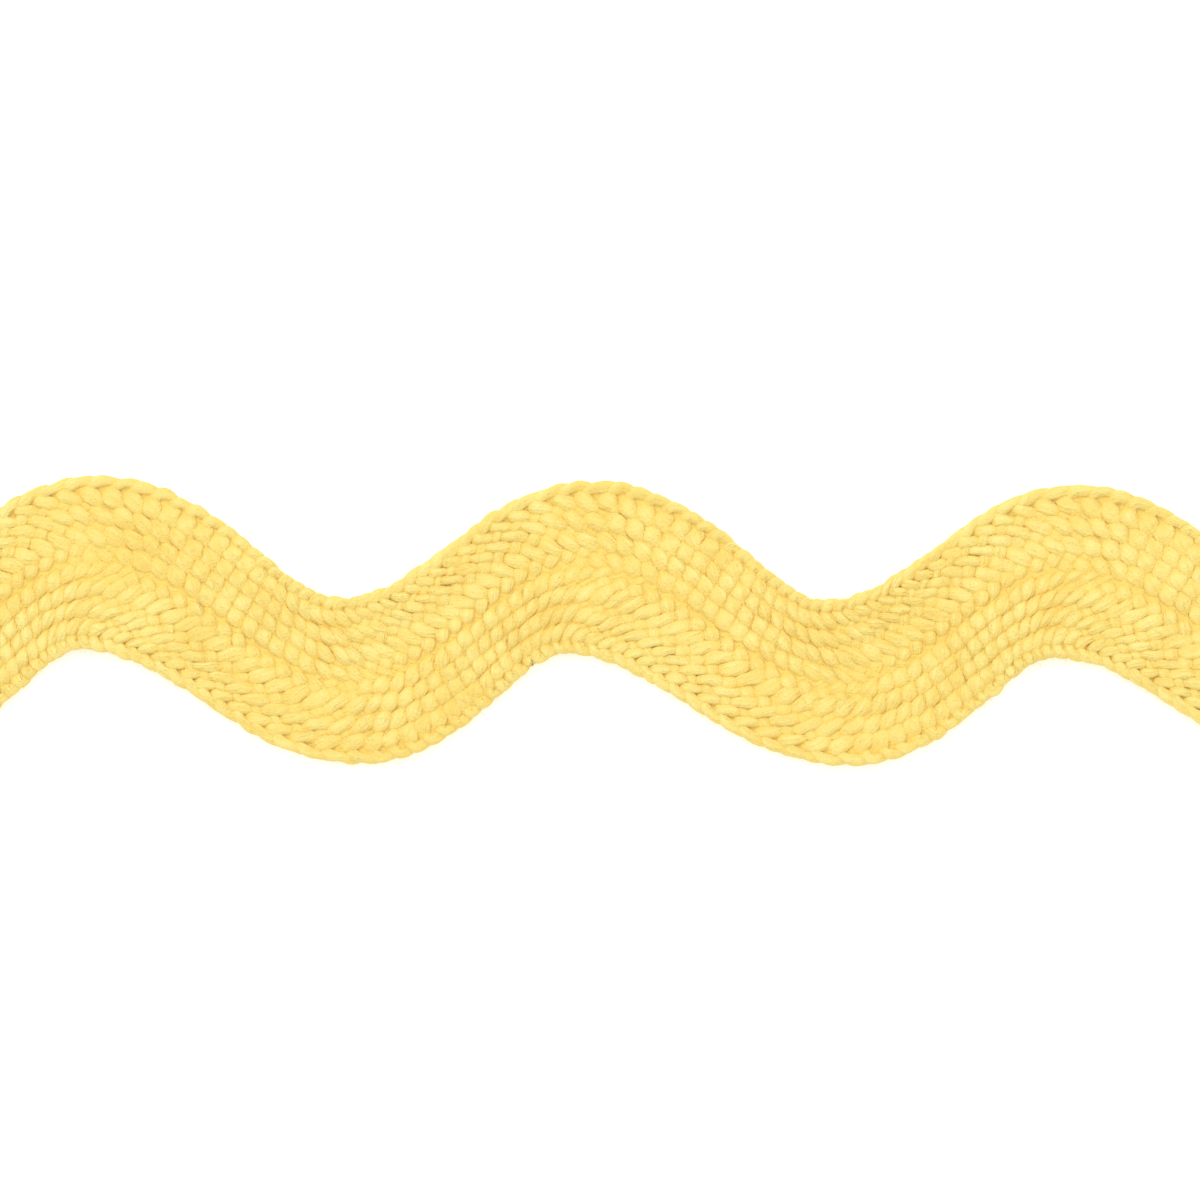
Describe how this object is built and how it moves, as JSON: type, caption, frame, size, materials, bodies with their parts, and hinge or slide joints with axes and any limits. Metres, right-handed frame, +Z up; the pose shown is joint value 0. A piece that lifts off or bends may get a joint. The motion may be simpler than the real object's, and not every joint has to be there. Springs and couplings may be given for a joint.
{
  "type": "cut length of ric rac braid",
  "caption": "Flat braided trimming set in waves: a plain cut length lying flat, its ribbed halves leaning opposite ways, with a turned selvage along each wavy edge.",
  "frame": {"origin": "under the middle of the braid, on the surface that it lies on", "axes": "+X along the length, +Y across the waves, +Z up out of the best side"},
  "size_m": [0.1092, 0.016, 0.0015],
  "materials": {
    "yarn": "soft matt braided yarn, butter yellow"
  },
  "bodies": {
    "root": {"braid": "yarn"}
  },
  "joints": []
}
